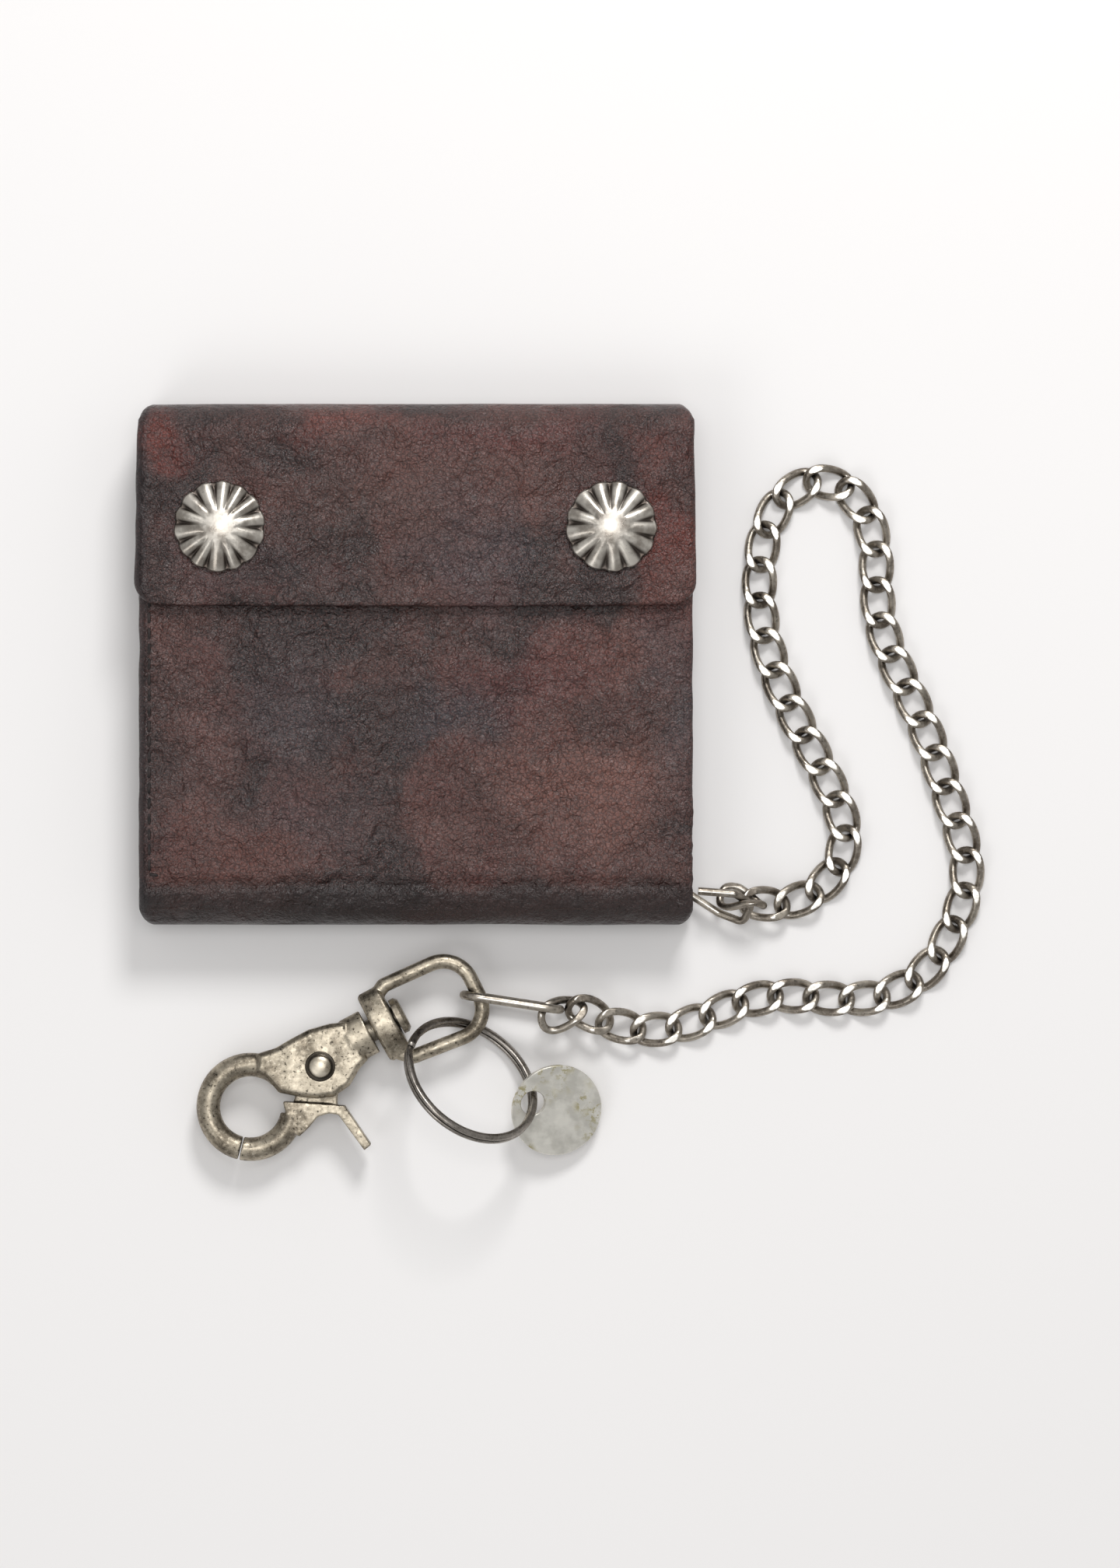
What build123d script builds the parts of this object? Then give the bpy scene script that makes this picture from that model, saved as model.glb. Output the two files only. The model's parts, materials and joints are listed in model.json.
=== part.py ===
from build123d import *
import math
import os

# Chain wallet: a folded leather wallet with two capped snaps, a loose curb chain,
# a trigger snap, a split key ring and a round tag. Millimetres.
# Origin: centre of the wallet's back face. +Y towards the flap's fold, +Z out of the front.

# ---------------------------------------------------------------- driving dimensions
WALLET_WIDTH = 118.8
WALLET_LENGTH = 111.6
WALLET_THICKNESS = 20.8
LEATHER = 1.8
THIN_LEATHER = 1.2
HINGE_GAP = 0.3
FLAP_TIP_Y = 12.6
CORNER_RADIUS = 4.5

SNAP_X = 41.75
SNAP_Y = 29.3
CAP_DIAMETER = 19.5
CAP_HEIGHT = 3.2
CAP_FLUTES = 13

LINK_LENGTH = 9.8       # to the wire's centre line
LINK_WIDTH = 6.0        # to the wire's centre line
LINK_TWIST = 1.42
LINK_WIRE = 1.68
LINK_FILED_THICKNESS = 2.9
RUN_LENGTHS = (5, 5, 3, 7, 5, 5, 5, 5)   # links that move as one, from the wallet on

SNAP_PLANE_Z = 6.0      # height of the snap hook's mid plane
CLAW_CENTRE = (-35.75, -95.05)
CLAW_RADIUS = 9.1       # to the bar's centre line
CLAW_BAR = 5.1
RIVET_CENTRE = (-20.7, -86.25)
COLLAR_CENTRE = (-7.0, -77.1)
EYE_WIRE = 3.2
POST_ANGLE = 28.0       # the swivel post's axis, above +X
EYE_ANGLE = 23.0        # the eye leans a little in its play on the post

# Centre, and the turn of the long axis, its rise and its roll, of the three end links.
FIRST_LINK = ((69.9, -50.7, 5.3), 165.2, 157.9, 123.5)
TWISTED_LINK = ((37.35, -75.1, 4.35), 151.3, 12.2, 4.0)
LAST_LINK = ((31.15, -74.75, 6.1), -158.0, 16.5, 14.8)

KEY_RING_DIAMETER = 32.0
KEY_CENTRE = (11.7, -89.0, 12.95)
KEY_LONG_ANGLE = -39.5
KEY_TILT = 49.0
TAG_DIAMETER = 19.8
TAG_THICKNESS = 1.2
TAG_HOLE = 5.3
TAG_HOLE_OFFSET = 5.7   # from the tag's centre to the hole's centre
TAG_RING_ANGLE = 27.0   # where the tag hangs on the key ring, from the ring's long axis
TAG_X_DIR = (0.94, -0.3, -0.3)
TAG_NORMAL = (0.25, -0.2, 0.95)

os.makedirs("parts", exist_ok=True)


def save(part, name):
    """Label a finished piece and write it to its own file."""
    part.label = name
    export_step(part, f"parts/{name}.step")


# ---------------------------------------------------------------- leather cover
half_width = WALLET_WIDTH / 2
half_length = WALLET_LENGTH / 2
fold_y = half_length - LEATHER          # inner corner line of both folds
flap_low = WALLET_THICKNESS - LEATHER   # underside of the flap
front_top = flap_low - 0.8              # outer face of the front panel
front_low = front_top - LEATHER         # inner face of the front panel


def sheet(width, y_low, y_high, z_low, thickness, corner=0.0, corner_side=None, x_mid=0.0):
    """A flat leather panel, with its outer corners rounded on one side (+1 top, -1 bottom)."""
    with BuildPart() as panel:
        with BuildSketch(Plane.XY.offset(z_low)) as outline:
            with Locations((x_mid, (y_low + y_high) / 2)):
                Rectangle(width, y_high - y_low)
            if corner_side:
                ends = outline.vertices().group_by(Axis.Y)[-1 if corner_side > 0 else 0]
                fillet(ends, corner)
        extrude(amount=thickness)
    return panel.part


back_cover = sheet(WALLET_WIDTH, -fold_y + HINGE_GAP, fold_y - HINGE_GAP, 0, LEATHER)
save(back_cover, "back_cover")

front_edge_y = fold_y - 1.2
front_cover = sheet(WALLET_WIDTH, -fold_y + HINGE_GAP, front_edge_y, front_low, LEATHER, CORNER_RADIUS, 1)

with BuildPart() as top_fold:
    with Locations((0, half_length - LEATHER / 2, (LEATHER + flap_low) / 2)):
        Box(WALLET_WIDTH, LEATHER, flap_low - LEATHER - 2 * HINGE_GAP)
save(top_fold.part, "top_fold")

with BuildPart() as spine_fold:
    with Locations((0, -half_length + LEATHER / 2, (LEATHER + front_low) / 2)):
        Box(WALLET_WIDTH, LEATHER, front_low - LEATHER - 2 * HINGE_GAP)
save(spine_fold.part, "spine_fold")

# ---------------------------------------------------------------- snap fasteners
snap_places = [(-SNAP_X, SNAP_Y), (SNAP_X, SNAP_Y)]
socket_radius = 5.2
stud_radius = 2.6
stud_height = 1.5
post_radius = 1.3
clear = 0.35

with BuildPart() as flap_panel:
    add(sheet(WALLET_WIDTH + 0.8, FLAP_TIP_Y, fold_y - HINGE_GAP, flap_low, LEATHER, CORNER_RADIUS, -1))
    with Locations(*[(x, y, WALLET_THICKNESS) for x, y in snap_places]):
        Hole(socket_radius)
save(flap_panel.part, "flap_panel")

with BuildPart() as snap_sockets:
    with Locations(*[(x, y) for x, y in snap_places]):
        with Locations((0, 0, flap_low)):
            Cylinder(socket_radius, LEATHER, align=(Align.CENTER, Align.CENTER, Align.MIN))
            Cylinder(stud_radius + clear, stud_height * 2 - 0.4, mode=Mode.SUBTRACT)
save(snap_sockets.part, "snap_sockets")

with BuildPart() as snap_caps:
    cap_sphere = (CAP_DIAMETER ** 2 / 4 + CAP_HEIGHT ** 2) / (2 * CAP_HEIGHT)
    with Locations(*[(x, y) for x, y in snap_places]):
        with Locations((0, 0, WALLET_THICKNESS + CAP_HEIGHT - cap_sphere)):
            Sphere(cap_sphere)
    with Locations((0, 0, WALLET_THICKNESS - 50)):
        Box(200, 200, 100, mode=Mode.SUBTRACT)
    for snap_x, snap_y in snap_places:
        with Locations((snap_x, snap_y, WALLET_THICKNESS + CAP_HEIGHT - 0.1)):
            with PolarLocations(CAP_DIAMETER / 2 + 0.7, CAP_FLUTES):
                Sphere(1.5, mode=Mode.SUBTRACT)
        with Locations((snap_x, snap_y, WALLET_THICKNESS + CAP_HEIGHT / 2)):
            with PolarLocations(CAP_DIAMETER / 2 + 0.8, CAP_FLUTES):
                Cylinder(1.3, CAP_HEIGHT + 1, mode=Mode.SUBTRACT)
save(snap_caps.part, "snap_caps")

with BuildPart() as snap_studs:
    with Locations(*[(x, y) for x, y in snap_places]):
        with Locations((0, 0, front_top)):
            Cylinder(4.2, 0.4, align=(Align.CENTER, Align.CENTER, Align.MIN))
            Cylinder(stud_radius, stud_height, align=(Align.CENTER, Align.CENTER, Align.MIN))
        with Locations((0, 0, front_low)):
            Cylinder(post_radius, LEATHER + 0.2, align=(Align.CENTER, Align.CENTER, Align.MIN))
save(snap_studs.part, "snap_studs")

with BuildPart() as stud_backs:
    with Locations(*[(x, y) for x, y in snap_places]):
        with Locations((0, 0, front_low - 0.8)):
            Cylinder(4.5, 0.8, align=(Align.CENTER, Align.CENTER, Align.MIN))
save(stud_backs.part, "stud_backs")

with BuildPart() as front_panel:
    add(front_cover)
    with Locations(*[(x, y, front_top) for x, y in snap_places]):
        Hole(post_radius)
save(front_panel.part, "front_panel")

# ---------------------------------------------------------------- pockets
welt = 5.0                               # width of the sewn margins
lining_low = 5.0                         # underside of the bill pocket's lining
lining_top = lining_low + THIN_LEATHER
pocket_end_y = fold_y - 1.5              # pockets stop short of the folds
eyelet_place = (53.2, -45.6)
eyelet_hole = 2.6
eyelet_flange = 4.2

with BuildPart() as bill_welt:
    with BuildSketch(Plane.XY.offset(LEATHER)):
        Rectangle(WALLET_WIDTH - 2, 2 * pocket_end_y)
        with Locations((welt, 0)):
            Rectangle(WALLET_WIDTH - 2, 2 * (pocket_end_y - welt), mode=Mode.SUBTRACT)
        with Locations((half_width, -pocket_end_y)):
            Rectangle(44, 22, mode=Mode.SUBTRACT)
    extrude(amount=lining_low - LEATHER)
save(bill_welt.part, "bill_pocket_welt")

with BuildPart() as bill_lining:
    add(sheet(WALLET_WIDTH - 2, -pocket_end_y, pocket_end_y, lining_low, THIN_LEATHER))
    with Locations((*eyelet_place, lining_top)):
        Hole(eyelet_hole + 0.5)
save(bill_lining.part, "bill_pocket_lining")

with BuildPart() as eyelet:
    with Locations((*eyelet_place, lining_low - 0.35)):
        Cylinder(eyelet_flange, 0.35, align=(Align.CENTER, Align.CENTER, Align.MIN))
        Cylinder(eyelet_hole + 0.5, THIN_LEATHER + 0.7, align=(Align.CENTER, Align.CENTER, Align.MIN))
        Hole(eyelet_hole)
save(eyelet.part, "eyelet")

with BuildPart() as eyelet_washer:
    with Locations((*eyelet_place, lining_top)):
        Cylinder(eyelet_flange, 0.35, align=(Align.CENTER, Align.CENTER, Align.MIN))
        Hole(eyelet_hole + 0.5)
save(eyelet_washer.part, "eyelet_washer")

card_width = 92.0
card_middle = -8.0
card_step = 12.0
card_tops = [20.0, 20.0 - card_step]
for number, top_y in enumerate(card_tops, start=1):
    low_z = lining_top + (number - 1) * THIN_LEATHER
    card_panel = sheet(card_width, -pocket_end_y + 1.0, top_y, low_z, THIN_LEATHER, x_mid=card_middle)
    save(card_panel, f"card_pocket_{number}")

coin_low = 13.6
with BuildPart() as coin_welt:
    with BuildSketch(Plane.XY.offset(coin_low + THIN_LEATHER)):
        Rectangle(WALLET_WIDTH - 2, 2 * pocket_end_y)
        Rectangle(WALLET_WIDTH - 2 - 2 * welt, 2 * pocket_end_y, mode=Mode.SUBTRACT)
        with Locations((0, -pocket_end_y + welt / 2)):
            Rectangle(WALLET_WIDTH - 2, welt)
    extrude(amount=front_low - coin_low - THIN_LEATHER)
save(coin_welt.part, "coin_pocket_welt")
save(sheet(WALLET_WIDTH - 2, -pocket_end_y, pocket_end_y - 8, coin_low, THIN_LEATHER), "coin_pocket_lining")

# ---------------------------------------------------------------- stitching
stitch_pitch = 3.3
stitch_length = 2.5
stitch_radius = 0.35


def stitch_row(x, y_start, y_end, z):
    """Short thread lengths lying on the leather, in one straight row."""
    with BuildPart() as row:
        count = int((y_end - y_start) / stitch_pitch)
        with Locations((x, (y_start + y_end) / 2, z + stitch_radius)):
            with GridLocations(1, stitch_pitch, 1, count):
                Cylinder(stitch_radius, stitch_length, rotation=(90, 0, 0))
    return row.part


stitch_x = -56.9
save(stitch_row(stitch_x, -46.0, front_edge_y - 3, front_top), "front_stitching")

# ---------------------------------------------------------------- wire ring on the eyelet
ring_wire = 1.7
ring_route = [
    (60.5, -48.6, 8.6), (68.4, -49.2, 8.2), (72.0, -51.4, 6.8), (70.2, -55.4, 4.4),
    (65.0, -53.4, 3.3), (56.5, -47.9, 3.2), (53.2, -45.7, 3.4), (53.2, -45.5, 8.1),
    (57.4, -47.4, 8.3),
]


def bent_wire(route, radius, diameter):
    """Round wire bent along straight runs and tangent arcs."""
    with BuildPart() as wire:
        with BuildLine(mode=Mode.PRIVATE) as path:
            FilletPolyline(*route, radius=radius)
        with BuildSketch(Plane(origin=path.wires()[0] @ 0, z_dir=path.wires()[0] % 0)) as section:
            Circle(diameter / 2)
        sweep(section.sketch, path=path.wires()[0])
    return wire.part


save(bent_wire(ring_route, 1.6, ring_wire), "wallet_ring")

# ---------------------------------------------------------------- curb chain
corner_count = 8
corner_step = 360 / corner_count


def link_corner(index):
    """Corner of the twisted eight-cornered frame that a link's wire follows."""
    angle = math.radians(corner_step * (index + 0.5))
    spread = 2 * math.cos(math.radians(corner_step / 2))
    return Vector(
        LINK_LENGTH / spread * math.cos(angle),
        LINK_WIDTH / spread * math.sin(angle),
        -LINK_TWIST * math.sin(2 * angle),
    )


with BuildPart() as curb_link:
    for first in (0, corner_count // 2):
        half_route = [(link_corner(first - 1) + link_corner(first)) * 0.5]
        half_route += [link_corner(first + step) for step in range(corner_count // 2)]
        half_route += [(link_corner(first + 3) + link_corner(first + 4)) * 0.5]
        add(bent_wire(half_route, 1.75, LINK_WIRE))
    Box(30, 30, LINK_FILED_THICKNESS, mode=Mode.INTERSECT)

flat_link_count = 40
chain_route = [
    (71.2, -51.0, 3.8), (77.6, -51.9, 2.6), (84.5, -50.0, 1.7), (90.2, -44.9, 1.45),
    (92.8, -38.3, 1.45), (91.6, -31.8, 1.45), (85.4, -18.6, 1.45), (78.2, -4.0, 1.45),
    (74.0, 11.3, 1.45), (74.0, 23.0, 1.45), (77.4, 34.6, 1.45), (82.6, 39.2, 1.45),
    (89.8, 40.0, 1.45), (95.6, 35.2, 1.45), (98.6, 28.3, 1.45), (99.2, 12.8, 1.45),
    (104.2, -2.1, 1.45), (110.7, -16.4, 1.45), (115.7, -31.4, 1.45), (118.9, -46.3, 1.45),
    (116.9, -53.7, 1.45), (109.0, -67.0, 1.45), (102.0, -71.0, 1.45), (94.5, -72.2, 1.45),
    (78.9, -71.1, 1.45), (71.2, -72.2, 1.45), (56.2, -78.2, 1.6), (48.3, -78.7, 2.3),
    (40.3, -76.7, 3.6),
]

with BuildLine() as chain_line:
    Spline(*chain_route)
chain_path = chain_line.edges()[0]
chain_pitch = chain_path.length / flat_link_count


def junction(number):
    """Point of the route where two flat links meet."""
    return chain_path.position_at(number * chain_pitch, position_mode=PositionMode.LENGTH)


def placed_link(centre, azimuth, elevation, roll):
    """A link at a centre, its long axis turned by azimuth and elevation, then rolled about it."""
    turned = Location(centre) * Location((0, 0, 0), (0, 0, azimuth))
    turned = turned * Location((0, 0, 0), (0, -elevation, 0)) * Location((0, 0, 0), (roll, 0, 0))
    return curb_link.part.moved(turned)


def chain_link(number):
    """Link between two neighbouring junctions of the route."""
    start = junction(number)
    end = junction(number + 1)
    azimuth = math.degrees(math.atan2(end.Y - start.Y, end.X - start.X))
    elevation = math.degrees(math.asin((end.Z - start.Z) / (end - start).length))
    return placed_link((start + end) * 0.5, azimuth, elevation, 0)


first_number = 0
for run, length in enumerate(RUN_LENGTHS, start=1):
    links = [chain_link(first_number + index) for index in range(length)]
    save(Compound(children=links), f"chain_run_{run}")
    print("chain run", run, "starts at", junction(first_number))
    first_number += length

save(placed_link(*FIRST_LINK), "chain_first_link")
save(placed_link(*TWISTED_LINK), "chain_twisted_link")
save(placed_link(*LAST_LINK), "chain_last_link")

# ---------------------------------------------------------------- oval ring on the snap's eye
oval_wire = 1.9
oval_start = Vector(9.2, -70.8, SNAP_PLANE_Z)
oval_end = Vector(31.75, -74.25, SNAP_PLANE_Z)
oval_height = 9.0
oval_plane = Plane(
    origin=(oval_start + oval_end) * 0.5,
    x_dir=oval_end - oval_start,
    z_dir=Vector(0, 0, 1).cross(oval_end - oval_start),
)
with BuildPart() as oval_ring:
    with BuildLine(oval_plane) as oval_line:
        bend = (oval_height - oval_wire) / 2
        reach = ((oval_end - oval_start).length - oval_wire) / 2 - bend
        lower = Line((-reach, -bend), (reach, -bend))
        right = JernArc(lower @ 1, lower % 1, bend, 180)
        upper = Line(right @ 1, (-reach, bend))
        left = JernArc(upper @ 1, upper % 1, bend, 180)
    with BuildSketch(Plane(origin=lower @ 0, z_dir=lower % 0)) as oval_section:
        Circle(oval_wire / 2)
    sweep(oval_section.sketch, path=oval_line.wires()[0])
save(oval_ring.part, "oval_ring")

# ---------------------------------------------------------------- trigger snap
collar = Vector(*COLLAR_CENTRE)
claw = Vector(*CLAW_CENTRE)
rivet = Vector(*RIVET_CENTRE)
snap_origin = Vector(collar.X, collar.Y, SNAP_PLANE_Z)


def heading(angle):
    return Vector(math.cos(math.radians(angle)), math.sin(math.radians(angle)), 0)


body_angle = math.degrees(math.atan2(collar.Y - claw.Y, collar.X - claw.X))
post_dir = heading(POST_ANGLE)
hook_plane = Plane(origin=snap_origin, x_dir=heading(body_angle), z_dir=(0, 0, 1))
eye_plane = Plane(origin=snap_origin, x_dir=heading(EYE_ANGLE), z_dir=(0, 0, 1))
post_plane = Plane(origin=snap_origin, x_dir=(0, 0, 1), z_dir=post_dir)
collar_length = 5.2
collar_width = 16.0
collar_height = 8.0
post_hole = 2.6
post_gap = 0.08
eye_outline = [(0.5, 6.0), (3.0, 7.6), (20.5, 8.0), (21.5, -9.6), (3.0, -9.0), (0.5, -7.0)]

with BuildPart() as swivel_eye:
    with BuildSketch(post_plane.offset(-collar_length / 2)):
        Ellipse(collar_height / 2, collar_width / 2)
    extrude(amount=collar_length)
    chamfer(swivel_eye.edges().filter_by(GeomType.ELLIPSE), 0.6)
    eye_route = [eye_plane.from_local_coords((u, v, 0)) for u, v in eye_outline]
    add(bent_wire(eye_route, [0.8, 6.5, 6.5, 0.8], EYE_WIRE))
    with Locations(post_plane.location):
        Cylinder(post_hole, 3 * collar_length, mode=Mode.SUBTRACT)
save(swivel_eye.part, "swivel_eye")

# Outline of the snap's body and trigger, along and across the post's axis.
claw_u = -(collar - claw).length
rivet_u = hook_plane.to_local_coords(Vector(rivet.X, rivet.Y, SNAP_PLANE_Z)).X
rivet_v = hook_plane.to_local_coords(Vector(rivet.X, rivet.Y, SNAP_PLANE_Z)).Y
nose_angle = 225.0                       # where the claw's nose meets the gate
nose_gap = 0.9                           # degrees on each side of the split
body_half = 3.1
slot_half = 1.25
rivet_radius = 2.0
neck_end = -3.7
body_outline = [
    (-7.0, 4.7), (-10.1, 6.2), (-14.6, 7.5), (-18.8, 7.8), (-22.7, 7.9), (-26.5, 8.9),
    (-29.0, 6.0), (-27.6, 3.4), (-27.0, -0.6),
    (-23.7, -3.7), (-20.9, -5.9), (-17.3, -7.6), (-13.3, -7.4), (-9.6, -5.4), (-7.0, -4.7),
]
ear_outline = [(-26.0, -4.4), (-18.3, -10.2), (-12.9, -2.4), (-16.0, 3.2), (-20.2, 0.6)]
trigger_outline = [
    (-27.3, -2.7), (-16.5, -10.5), (-16.1, -20.6), (-18.0, -20.8), (-18.7, -11.4), (-20.2, -10.1),
    (-22.6, -9.4), (-25.6, -10.4), (-28.2, -10.9), (-29.5, -9.0), (-28.2, -5.4),
]


def claw_bar(start_angle, end_angle):
    """Part of the claw's round bar, between two angles about the claw's centre."""
    with BuildPart() as bar:
        with BuildLine(hook_plane) as bar_line:
            CenterArc((claw_u, 0), CLAW_RADIUS, start_angle, end_angle - start_angle)
        bar_path = bar_line.edges()[0]
        with BuildSketch(Plane(origin=bar_path @ 0, z_dir=bar_path % 0)) as bar_section:
            Circle(CLAW_BAR / 2)
        sweep(bar_section.sketch, path=bar_path)
    return bar.part


with BuildPart() as snap_body:
    with BuildSketch(hook_plane.offset(-body_half)):
        Polygon(*body_outline, align=None)
    extrude(amount=2 * body_half)
    chamfer(snap_body.edges().filter_by(Plane.XY), 0.9)
    add(claw_bar(12, nose_angle - nose_gap))
    with BuildSketch(post_plane.offset(-8.5)):
        Ellipse(3.4, 5.0)
    extrude(amount=8.5 + neck_end)
    with BuildSketch(hook_plane.offset(-slot_half)):
        with Locations((rivet_u, rivet_v)):
            Circle(6.0)
        with Locations((rivet_u - 2.0, rivet_v - 8.0)):
            Rectangle(18.0, 16.0)
    extrude(amount=2 * slot_half, mode=Mode.SUBTRACT)
    with Locations(hook_plane.offset(0).location * Location((rivet_u, rivet_v, 0))):
        Cylinder(rivet_radius, 4 * body_half, mode=Mode.SUBTRACT)
save(snap_body.part, "snap_body")

with BuildPart() as swivel_post:
    with BuildSketch(post_plane.offset(neck_end)):
        Circle(post_hole - post_gap)
    extrude(amount=collar_length / 2 + 0.4 - neck_end)
    with BuildSketch(post_plane.offset(collar_length / 2 + 0.4)):
        Circle(4.0)
    extrude(amount=1.8)
    post_axis = Axis(snap_origin, post_dir)
    chamfer(swivel_post.edges().filter_by(GeomType.CIRCLE).sort_by(post_axis)[-1], 0.7)
save(swivel_post.part, "swivel_post")

with BuildPart() as trigger:
    with BuildSketch(hook_plane.offset(-CLAW_BAR / 2 + 0.1)):
        Polygon(*trigger_outline, align=None)
    extrude(amount=CLAW_BAR - 0.2)
    add(claw_bar(nose_angle + nose_gap, 318))
    with BuildSketch(hook_plane.offset(-1.1)):
        Polygon(*ear_outline, align=None)
        with Locations((rivet_u, rivet_v)):
            Circle(4.0)
    extrude(amount=1.4)
    with Locations(hook_plane.location * Location((rivet_u, rivet_v, 0))):
        Cylinder(rivet_radius + 0.08, 6, mode=Mode.SUBTRACT)
save(trigger.part, "trigger")

with BuildPart() as snap_rivet:
    with Locations(hook_plane.location * Location((rivet_u, rivet_v, 0))):
        Cylinder(rivet_radius, 2 * body_half)
        with Locations((0, 0, body_half)):
            Cylinder(3.0, 0.7, align=(Align.CENTER, Align.CENTER, Align.MIN))
        with Locations((0, 0, -body_half)):
            Cylinder(3.0, 0.7, align=(Align.CENTER, Align.CENTER, Align.MAX))
    chamfer(snap_rivet.edges().filter_by(GeomType.CIRCLE).sort_by(Axis.Z)[-1], 0.45)
    chamfer(snap_rivet.edges().filter_by(GeomType.CIRCLE).sort_by(Axis.Z)[0], 0.45)
save(snap_rivet.part, "snap_rivet")

with BuildPart() as trigger_spring:
    with Locations(hook_plane.location * Location((rivet_u, rivet_v, 0.75))):
        Torus(2.7, 0.3)
save(trigger_spring.part, "trigger_spring")

# ---------------------------------------------------------------- split key ring and tag
key_centre = Vector(*KEY_CENTRE)
key_long = math.radians(KEY_LONG_ANGLE)
key_tilt = math.radians(KEY_TILT)
key_wire = 2.0
key_turn = 1.05
key_slit = 0.12
long_dir = Vector(math.cos(key_long), math.sin(key_long), 0)
low_dir = Vector(-math.sin(key_long) * math.cos(key_tilt), math.cos(key_long) * math.cos(key_tilt),
                 -math.sin(key_tilt))
key_plane = Plane(origin=key_centre, x_dir=long_dir, z_dir=long_dir.cross(low_dir))
with BuildPart() as key_ring:
    for side in (-1, 1):
        with BuildSketch(key_plane.offset(side * (key_turn + key_slit) / 2 - key_turn / 2)):
            Circle(KEY_RING_DIAMETER / 2)
            Circle(KEY_RING_DIAMETER / 2 - key_wire, mode=Mode.SUBTRACT)
        extrude(amount=key_turn)
    with Locations(key_plane.location * Location((-KEY_RING_DIAMETER / 2 + key_wire / 2, 0, 0))):
        Box(key_wire * 0.8, 5.0, key_turn)
save(key_ring.part, "key_ring")

key_middle = (KEY_RING_DIAMETER - key_wire) / 2
tag_angle = math.radians(TAG_RING_ANGLE)
tag_hole = key_plane.from_local_coords((key_middle * math.cos(tag_angle), key_middle * math.sin(tag_angle), 0))
tag_plane = Plane(origin=tag_hole, x_dir=TAG_X_DIR, z_dir=TAG_NORMAL)
with BuildPart() as tag:
    with BuildSketch(tag_plane.offset(-TAG_THICKNESS / 2)):
        with Locations((TAG_HOLE_OFFSET, 0)):
            Circle(TAG_DIAMETER / 2)
        Circle(TAG_HOLE / 2, mode=Mode.SUBTRACT)
    extrude(amount=TAG_THICKNESS)
    chamfer(tag.edges().filter_by(GeomType.CIRCLE), 0.15)
save(tag.part, "tag")
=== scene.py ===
import json
import math

import bmesh
import bpy
import numpy as np
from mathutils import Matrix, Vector, noise


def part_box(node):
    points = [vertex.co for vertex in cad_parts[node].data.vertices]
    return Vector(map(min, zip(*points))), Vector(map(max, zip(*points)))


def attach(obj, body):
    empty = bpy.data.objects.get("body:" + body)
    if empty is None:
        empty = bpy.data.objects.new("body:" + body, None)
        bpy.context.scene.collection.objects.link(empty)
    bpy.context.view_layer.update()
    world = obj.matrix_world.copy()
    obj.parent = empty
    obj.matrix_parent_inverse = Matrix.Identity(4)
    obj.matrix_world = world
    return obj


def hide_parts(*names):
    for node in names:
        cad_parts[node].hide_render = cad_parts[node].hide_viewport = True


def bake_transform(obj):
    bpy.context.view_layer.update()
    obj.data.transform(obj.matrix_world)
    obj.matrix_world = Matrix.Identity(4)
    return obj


# Chain wallet: leather cover, capped snaps, curb chain, trigger snap, split ring and tag.
# Shapes are worked out in millimetres and written in metres.

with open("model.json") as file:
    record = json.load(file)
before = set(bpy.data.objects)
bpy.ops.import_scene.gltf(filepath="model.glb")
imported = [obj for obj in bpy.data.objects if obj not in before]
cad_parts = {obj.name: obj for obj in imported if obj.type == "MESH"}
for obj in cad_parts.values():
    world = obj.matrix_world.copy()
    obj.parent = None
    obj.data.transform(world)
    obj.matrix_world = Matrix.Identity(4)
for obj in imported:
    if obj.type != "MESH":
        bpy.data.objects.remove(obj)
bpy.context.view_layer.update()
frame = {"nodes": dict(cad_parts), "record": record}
MM = 0.001


# ---------------------------------------------------------------- camera, light and floor
def aim(obj, target):
    obj.rotation_euler = (Vector(target) - obj.location).to_track_quat("-Z", "Y").to_euler()


def add_light(name, place, target, size, watts):
    data = bpy.data.lights.new(name, "AREA")
    data.shape = "DISK"
    data.size = size
    data.energy = watts
    lamp = bpy.data.objects.new(name, data)
    bpy.context.collection.objects.link(lamp)
    lamp.location = place
    aim(lamp, target)


VIEW_CENTRE = (0.0308, -0.0256)
VIEW_HEIGHT = 0.336             # metres from top to bottom of the picture, at the level below
VIEW_LEVEL = 0.012
CAMERA_HEIGHT = 1.6
SENSOR_HEIGHT = 36
LIGHT_TARGET = (0.03, -0.02, 0)
WORLD_STRENGTH = 0.42

camera_data = bpy.data.cameras.new("camera")
camera_data.sensor_fit = "VERTICAL"
camera_data.sensor_height = SENSOR_HEIGHT
camera_data.lens = SENSOR_HEIGHT * (CAMERA_HEIGHT - VIEW_LEVEL) / VIEW_HEIGHT
camera_data.clip_end = 20
camera = bpy.data.objects.new("camera", camera_data)
camera.location = (*VIEW_CENTRE, CAMERA_HEIGHT)
bpy.context.collection.objects.link(camera)
bpy.context.scene.camera = camera

add_light("key", (0.16, 0.66, 0.72), LIGHT_TARGET, 0.3, 5.0)
add_light("overhead", (0.03, 0.12, 2.0), LIGHT_TARGET, 0.9, 9.5)
add_light("fill", (-0.5, -0.6, 0.9), LIGHT_TARGET, 0.6, 1.6)
world = bpy.data.worlds.new("studio")
bpy.context.scene.world = world
world.use_nodes = True
background = world.node_tree.nodes["Background"]
background.inputs["Color"].default_value = (1, 1, 1, 1)
background.inputs["Strength"].default_value = WORLD_STRENGTH
bpy.context.scene.view_settings.view_transform = "Standard"


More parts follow.
